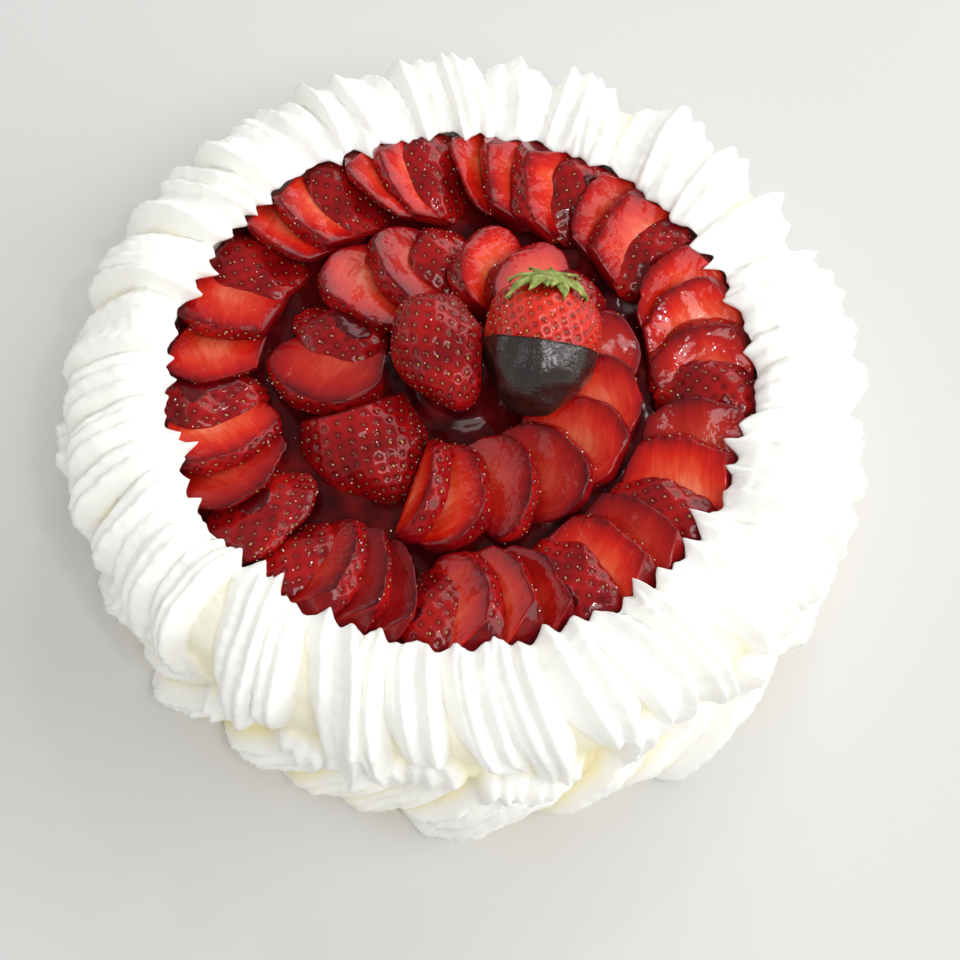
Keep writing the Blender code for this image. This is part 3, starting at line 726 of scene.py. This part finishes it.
def makeOuterRing(chance, look):
    slices = []
    ring = outerRing
    for first, last, count, leanAngle, broad, inside in outerFans:
        step = (last - first) / max(count - 1, 1)
        swell = chance.uniform(0.95, 1.05)
        phase = look.uniform(0.0, 6.0)
        for place in range(count):
            middle = (count - 1) / 2.0 - place
            depth = (count + ring["crown"]) * ring["thickness"]
            low = (middle - 0.5) * ring["thickness"]
            high = low + ring["thickness"]
            if place == 0:
                high = depth / 2.0
            width = broad * swell * chance.uniform(0.95, 1.05)
            length = ring["length"] * chance.uniform(0.96, 1.03)
            tilt = leanAngle + chance.uniform(-2.0, 2.0)
            lean = math.radians(tilt)
            back = math.degrees(width * 0.5 * math.cos(lean) / ring["radius"]) - 4.0
            height = bedTop + width * seatShare * math.sin(lean)
            angle = first + step * place - back
            yaw = chance.uniform(-4.0, 4.0) - middle * ring["spread"]
            matrix, face = ringFrame(angle, ring["radius"], height, tilt, yaw=yaw)
            item = StrawberrySlice((length, width, depth), low, high, matrix, face, phase)
            trimEnds(item, angle, inside, outerTrim["outside"])
            slope = math.radians(outerTrim["slope"])
            item.cut(polar(outerTrim["lipRadius"], angle, outerTrim["lipHeight"]),
                     polar(math.cos(slope), angle, math.sin(slope)), 0)
            slices.append(item)
    for order, item in enumerate(slices):
        partNeighbours(item, slices[(order + 1) % len(slices)])
    for order, item in enumerate(slices):
        item.finish(f"outer_slice_{order + 1:02d}", fleshMaterials[outerTones[order]])


# inner ring: shorter slices, and the big half berry between two of them

innerRing = {
    "radius": 41.0, "inside": 24.2, "thickness": 6.6, "depth": 0.9,
    "crowns": (2, 5, 8), "crownExtra": 1.5,      # the slices that show skin, and how much thicker they are
    "tipsOut": 0.4,                              # share of the slices with their tip outwards
}
# angle of the part that shows, tilt, length, width, radius of the outer end
innerSlices = (
    (4.0, 20.0, 35.0, 31.0, 58.5), (25.0, 25.0, 35.0, 29.0, 58.5), (46.0, 31.0, 34.0, 27.0, 58.0),
    (67.0, 33.0, 34.0, 27.0, 58.0), (87.0, 34.0, 34.0, 27.0, 58.0), (105.0, 34.0, 34.0, 28.0, 58.5),
    (124.0, 29.0, 36.0, 28.0, 60.0), (146.0, 17.0, 39.0, 31.0, 62.5), (169.0, 21.0, 39.0, 33.0, 62.5),
    (193.0, 19.0, 39.0, 35.0, 62.5), (258.0, 56.0, 36.0, 22.0, 59.5), (278.0, 26.0, 36.0, 31.0, 59.5),
    (299.0, 30.0, 35.0, 30.0, 58.5), (320.0, 31.0, 35.0, 30.0, 58.5), (343.0, 26.0, 35.0, 31.0, 58.5),
)
innerTones = (0, 2, 0, 1, 1, 3, 2, 0, 3, 2, 1, 1, 2, 2, 0)
half = {"after": 9, "centre": (-28.0, -22.0), "size": (48.0, 37.0, 34.0), "axis": 134.0,
        "sides": ((200.0, 58.0), (251.0, 64.0)), "sideHeight": 9.0}


def levelFrame(centre, axisAngle):
    along = polar(1.0, axisAngle)
    place = Matrix((up.cross(along), up, along)).transposed().to_4x4()
    place.translation = Vector(centre)
    return place


def makeInnerRing(chance, look):
    slices = []
    ring = innerRing
    for angle, tilt, length, width, outside in innerSlices:
        low = -ring["thickness"] / 2.0
        high = ring["thickness"] / 2.0
        depth = width * ring["depth"]
        if len(slices) in ring["crowns"]:
            high = depth / 2.0
            low = high - ring["thickness"] - ring["crownExtra"]
        lean = math.radians(tilt)
        radius = outside - length / 2.0
        back = math.degrees(width * 0.5 * math.cos(lean) / radius) - 6.0
        height = bedTop + width * seatShare * math.sin(lean) + ring["thickness"] * 0.2
        matrix, face = ringFrame(angle - back, radius, height, tilt, chance.random() < ring["tipsOut"])
        item = StrawberrySlice((length, width, depth), low, high, matrix, face, look.uniform(0.0, 6.0))
        trimEnds(item, angle - back, ring["inside"], outside)
        slices.append(item)
    for order, item in enumerate(slices):
        if order != half["after"]:
            partNeighbours(item, slices[(order + 1) % len(slices)])
    makeHalfBerry(slices[half["after"]], slices[half["after"] + 1:half["after"] + 3])
    for order, item in enumerate(slices):
        item.finish(f"inner_slice_{order + 1:02d}", fleshMaterials[innerTones[order]])


def keepSeeds(seeds, matrix, cuts, shift):
    turn = matrix.to_3x3()
    axis = turn @ Vector((0.0, 0.0, 1.0))
    for spot, normal in seeds:
        at = matrix @ spot
        if seedStays(at, cuts):
            allSeeds.append((at + shift, turn @ normal, axis))


def finishBerry(name, node, form, seeds, matrix, cuts, materials, shift, size):
    for point, direction in cuts:
        cutAway(form, point, direction)
    roundCuts(form)
    keepSeeds(seeds, matrix, cuts, shift)
    bmesh.ops.transform(form, matrix=matrix.inverted(), verts=form.verts)
    markDepth(form, size)
    addPiece(name, form, materials, [node], Matrix.Translation(shift) @ matrix)


def makeHalfBerry(before, after):
    form, seeds = berryForm(half["size"], phase=1.0, finer=2)
    matrix = levelFrame((*half["centre"], bedTop + gap), half["axis"])
    bmesh.ops.transform(form, matrix=matrix, verts=form.verts)
    cuts = [(Vector((0.0, 0.0, bedTop + gap)), -up)]
    sides = (([before], half["sides"][0], -1.0), (after, half["sides"][1], 1.0))
    for neighbours, (angle, slope), side in sides:
        lean = math.radians(slope)
        normal = polar(side * math.sin(lean), angle + 90.0, math.cos(lean))
        point = polar(innerRing["radius"], angle, bedTop + half["sideHeight"])
        cuts.append((point - normal * gap / 2.0, normal))
        for neighbour in neighbours:
            neighbour.cut(point + normal * gap / 2.0, -normal)
    finishBerry("half_berry_glazed", "half_berry", form, seeds, matrix, cuts,
                [skinMaterial, fleshMaterials[0]], wellShift, half["size"])


look = random.Random(5)
makeOuterRing(chance, look)
print("outer ring laid")
makeInnerRing(chance, look)
print("inner ring laid")


# the middle: a glazed whole berry, and a half berry dipped in chocolate with its calyx

glazed = {"centre": (-7.6, 0.0, 87.0), "size": (41.0, 28.5, 26.0), "axis": 112.0, "side": 5.0}
dipped = {"centre": (23.6, 0.2, 92.0), "size": (43.0, 35.0, 34.0), "lean": 21.0, "turn": -8.0,
          "level": -1.0, "coat": 0.9, "phase": 0.4, "seedArea": 10.0}


def makeGlazedBerry():
    form, seeds = berryForm(glazed["size"], phase=2.0, finer=2)
    matrix = levelFrame(glazed["centre"], glazed["axis"])
    bmesh.ops.transform(form, matrix=matrix, verts=form.verts)
    cuts = [(Vector((0.0, 0.0, moundTop + gap)), -up),
            (Vector((glazed["side"], 0.0, 0.0)), Vector((1.0, 0.0, 0.0)))]
    finishBerry("glazed_berry_whole", "glazed_berry", form, seeds, matrix, cuts,
                [skinMaterial, fleshMaterials[3]], Vector(), glazed["size"])


def dippedFrame():
    lean = Matrix.Rotation(math.radians(dipped["lean"]), 4, "X")
    turn = Matrix.Rotation(math.radians(dipped["turn"]), 4, "Z")
    return Matrix.Translation(dipped["centre"]) @ turn @ lean @ levelFrame((0.0, 0.0, 0.0), 90.0)


def makeDippedBerry():
    matrix = dippedFrame()
    turn = matrix.to_3x3()
    along = turn @ Vector((0.0, 0.0, 1.0))
    flat = turn @ Vector((0.0, -1.0, 0.0))
    centre = matrix.translation.copy()
    form, seeds = berryForm(dipped["size"], tip=berry["dippedTip"], phase=dipped["phase"], finer=2,
                            area=dipped["seedArea"])
    bmesh.ops.transform(form, matrix=matrix, verts=form.verts)
    cuts = [(centre + along * (dipped["level"] - 2.0), -along), (centre, flat)]
    finishBerry("dipped_berry_red", "dipped_berry", form, seeds, matrix, cuts,
                [drySkinMaterial, fleshMaterials[1]], Vector(), dipped["size"])
    size = [side + 2.0 * dipped["coat"] for side in dipped["size"]]
    # the coat fills the pits, so the range that gets them starts past the form
    coat = berryForm(size, tip=berry["dippedTip"], phase=dipped["phase"], low=90.0, finer=2)[0]
    for vert in coat.verts:
        # it lies in low bumps
        bump = 0.2 + noise.noise(vert.co * 0.16) * 0.5 + noise.noise(vert.co * 0.35) * 0.2
        vert.co += vert.co.normalized() * bump
    bmesh.ops.transform(coat, matrix=matrix, verts=coat.verts)
    cutAway(coat, centre + along * (dipped["level"] + 1.2), along)
    cutAway(coat, centre, flat)
    for vert in coat.verts:
        # its edge is wavy
        rise = (vert.co - centre).dot(along) - dipped["level"]
        if rise > 0.9:
            vert.co -= along * (0.9 + 1.1 * noise.noise(vert.co * 0.13))
    bmesh.ops.transform(coat, matrix=matrix.inverted(), verts=coat.verts)
    addPiece("chocolate_dip", coat, [chocolateMaterial, chocolateMaterial], ["chocolate"],
             matrix)


makeGlazedBerry()
makeDippedBerry()


# calyx: pointed leaves with a raised midrib, lying over the shoulder and curling at the tips

calyx = {"thickness": 0.5, "rows": 14, "half": 5, "forward": 8.0, "limit": 16.4, "room": 0.9,
         "wave": 0.45, "midrib": 0.5, "twist": 0.25, "hub": 1.8}
# direction of each leaf round the berry, reach, half width, and how far it stands off
calyxLeaves = (
    (-30.0, 8.0, 2.0, 1.6), (6.0, 12.0, 2.2, 1.4), (30.0, 16.0, 2.4, 0.8), (56.0, 11.0, 3.0, 1.4),
    (84.0, 9.0, 3.8, 1.8), (108.0, 9.0, 3.4, 1.8), (131.0, 12.5, 2.6, 0.8), (146.0, 12.0, 2.2, 0.6),
    (166.0, 13.5, 2.3, 0.8), (212.0, 8.0, 2.0, 1.6), (262.0, 6.0, 2.4, 1.8),
)


def shoulderHeight(reach):
    length, width, depth = dipped["size"]
    for step in range(240):
        level = 1.0 - step / 240.0
        if berryShare(level, berry["dippedTip"]) * width / 2.0 >= reach:
            return level * length / 2.0
    return 0.0


def leafPoint(x, y, lift):
    # past the shoulder a leaf turns down the berry's side
    flat = math.hypot(x, y)
    over = max(flat - calyx["limit"], 0.0)
    if over > 0.0:
        pull = (calyx["limit"] + over * 0.25) / flat
        x, y = x * pull, y * pull
    rise = shoulderHeight(max(min(flat, calyx["limit"]) - calyx["room"], 0.0)) + calyx["room"]
    return Vector((x, y, rise - over * 0.95)) + Vector((x, y, 12.0)).normalized() * lift


def makeCalyx():
    chance = random.Random(3)
    form = bmesh.new()
    matrix = dippedFrame()
    for leaf, (heading, reach, broad, standOff) in enumerate(calyxLeaves):
        direction = math.radians(heading)
        twist = chance.uniform(-calyx["twist"], calyx["twist"])
        sheet = []
        for r in range(calyx["rows"] + 1):
            t = r / calyx["rows"]
            away = reach * t
            width = broad * (math.sin(math.pi * min(t * 0.75 + 0.16, 1.0)) ** 0.8) * (1.0 - t ** 3) + 0.05
            line = []
            for s in range(-calyx["half"], calyx["half"] + 1):
                side = s / calyx["half"]
                bend = direction + twist * t * t
                x = away * math.cos(bend) - side * width * math.sin(bend)
                y = away * math.sin(bend) + side * width * math.cos(bend) + calyx["forward"]
                lift = calyx["wave"] * abs(side) * math.sin(3.0 * t * math.pi + leaf)
                lift = lift + calyx["midrib"] * (1.0 - abs(side)) + standOff * t ** 1.6
                line.append(form.verts.new(leafPoint(x, y, lift)))
            sheet.append(line)
        for a, b in zip(sheet, sheet[1:]):
            for n in range(len(a) - 1):
                form.faces.new((a[n], b[n], b[n + 1], a[n + 1]))
    bmesh.ops.recalc_face_normals(form, faces=form.faces)
    bmesh.ops.solidify(form, geom=form.faces[:], thickness=calyx["thickness"])
    hub = bmesh.ops.create_icosphere(form, subdivisions=2, radius=calyx["hub"])
    top = shoulderHeight(calyx["forward"])
    for vert in hub["verts"]:
        vert.co = Vector((vert.co.x * 1.2, vert.co.y * 1.2 + calyx["forward"], vert.co.z * 0.6 + top + 1.0))
    addPiece("calyx_leaves", form, [leafMaterial], ["calyx"], matrix)


makeCalyx()
print("middle berries set")


# all the seeds are one scattered piece

def makeSeeds():
    form = bmesh.new()
    chance = random.Random(9)
    thick, deep, long = berry["seedSize"]
    for spot, normal, axis in allSeeds:
        side = axis.cross(normal).normalized()
        along = normal.cross(side).normalized()
        size = chance.uniform(0.8, 1.1)
        made = bmesh.ops.create_icosphere(form, subdivisions=1, radius=1.0)
        place = spot - normal * berry["seedSink"]
        for vert in made["verts"]:
            x, y, z = vert.co * size
            vert.co = place + side * x * thick + normal * y * deep + along * z * long
    addPiece("strawberry_seeds", form, [seedMaterial])


makeSeeds()
print("seeds scattered:", len(allSeeds))


# small air bubbles caught in the glaze; each is painted near white so that it shows as a glint

bubble = {"share": 0.3, "radius": (0.16, 0.34), "spread": 2.4}


def makeBubbles():
    form = bmesh.new()
    chance = random.Random(31)
    for spot, normal, axis in allSeeds:
        if chance.random() > bubble["share"]:
            continue
        side = axis.cross(normal).normalized()
        along = normal.cross(side).normalized()
        place = spot + side * chance.uniform(-1.0, 1.0) * bubble["spread"]
        place = place + along * chance.uniform(-1.0, 1.0) * bubble["spread"]
        made = bmesh.ops.create_icosphere(form, subdivisions=1, radius=chance.uniform(*bubble["radius"]))
        bmesh.ops.translate(form, vec=place, verts=made["verts"])
    addPiece("glaze_bubbles", form, [bubbleGlintMaterial])


makeBubbles()
print("bubbles in the glaze")


# jelly bed: poured between the slices, so it dips and rises a little

jelly = {"radius": 94.0, "rings": 60, "around": 180, "wave": 1.3, "rise": 2.2,
         "climb": 5.5, "climbFrom": 87.0, "moundEdge": 15.5, "moundSoft": 0.9, "foot": 65.0}


def makeJellyBed():
    form = bmesh.new()
    centre = form.verts.new((0.0, 0.0, moundTop))
    rings = []
    for r in range(1, jelly["rings"] + 1):
        radius = jelly["radius"] * r / jelly["rings"]
        line = []
        for c in range(jelly["around"]):
            spot = polar(radius, 360.0 * c / jelly["around"])
            mound = 1.0 / (1.0 + math.exp((radius - jelly["moundEdge"]) / jelly["moundSoft"]))
            wave = noise.noise(spot * 0.09) * jelly["wave"] + noise.noise(spot * 0.25) * jelly["wave"] * 0.4
            wave = wave + jelly["rise"]
            edge = (radius - jelly["climbFrom"]) / (jelly["radius"] - jelly["climbFrom"])
            climb = jelly["climb"] * min(max(edge, 0.0), 1.0)
            rise = bedTop + (moundTop - bedTop) * mound + wave * (1.0 - mound) + climb
            line.append(form.verts.new((spot.x, spot.y, rise)))
        rings.append(line)
    foot = [form.verts.new((v.co.x, v.co.y, jelly["foot"] + gap)) for v in rings[-1]]
    rings.append(foot)
    for c in range(jelly["around"]):
        n = (c + 1) % jelly["around"]
        form.faces.new((centre, rings[0][c], rings[0][n]))
        for a, b in zip(rings, rings[1:]):
            form.faces.new((a[c], b[c], b[n], a[n]))
    form.faces.new(foot[::-1])
    bmesh.ops.translate(form, vec=wellShift, verts=form.verts)
    addPiece("jelly_bed", form, [jellyMaterial], ["jelly"])


makeJellyBed()
print("jelly poured")


# room: pale floor, big soft boxes behind and to the right, a weak one on the left, a fill from the
# front right, and two small lamps that make the glints

room = {"floor": "#D5D4D2", "size": 6.0, "world": 0.43, "aim": (0.0, 0.0, 0.06)}
softBoxes = (
    {"place": (0.85, 1.25, 1.00), "size": (1.5, 1.0), "power": 13.0},
    {"place": (1.85, -0.25, 1.15), "size": (1.5, 1.3), "power": 19.0},
    {"place": (-1.50, 0.10, 0.85), "size": (1.3, 0.7), "power": 3.5},
    {"place": (0.45, -1.05, 1.65), "size": (0.9, 0.6), "power": 12.0},
    {"place": (0.45, -0.55, 1.35), "size": (0.04, 0.04), "power": 1.2},
    {"place": (0.25, 0.75, 1.25), "size": (0.05, 0.05), "power": 0.8},
)


def makeRoom():
    form = bmesh.new()
    bmesh.ops.create_grid(form, x_segments=1, y_segments=1, size=room["size"] / 2.0)
    mesh = bpy.data.meshes.new("paleFloor")
    form.to_mesh(mesh)
    form.free()
    material, tree, body = startMaterial("paleFloor", {
        "Roughness": 0.85, "Base Color": hexToLinear(room["floor"])})
    mesh.materials.append(material)
    floor = bpy.data.objects.new("paleFloor", mesh)
    bpy.context.scene.collection.objects.link(floor)
    floor.location.z = -0.0003
    for number, box in enumerate(softBoxes):
        data = bpy.data.lights.new(f"softBox{number + 1}", "AREA")
        data.shape = "RECTANGLE"
        data.size, data.size_y = box["size"]
        data.energy = box["power"]
        item = bpy.data.objects.new(data.name, data)
        item.location = box["place"]
        aim = Vector(room["aim"]) - item.location
        item.rotation_euler = aim.to_track_quat("-Z", "Y").to_euler()
        bpy.context.scene.collection.objects.link(item)
    world = bpy.data.worlds.new("softRoom")
    bpy.context.scene.world = world
    world.use_nodes = True
    background = world.node_tree.nodes["Background"]
    background.inputs["Color"].default_value = hexToLinear("#FFFFFF")
    background.inputs["Strength"].default_value = room["world"]


makeRoom()
print("room lit")
shown = [item for item in bpy.data.objects if item.type == "MESH" and item.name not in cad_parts]
print("triangles:", sum(len(face.vertices) - 2 for item in shown for face in item.data.polygons))
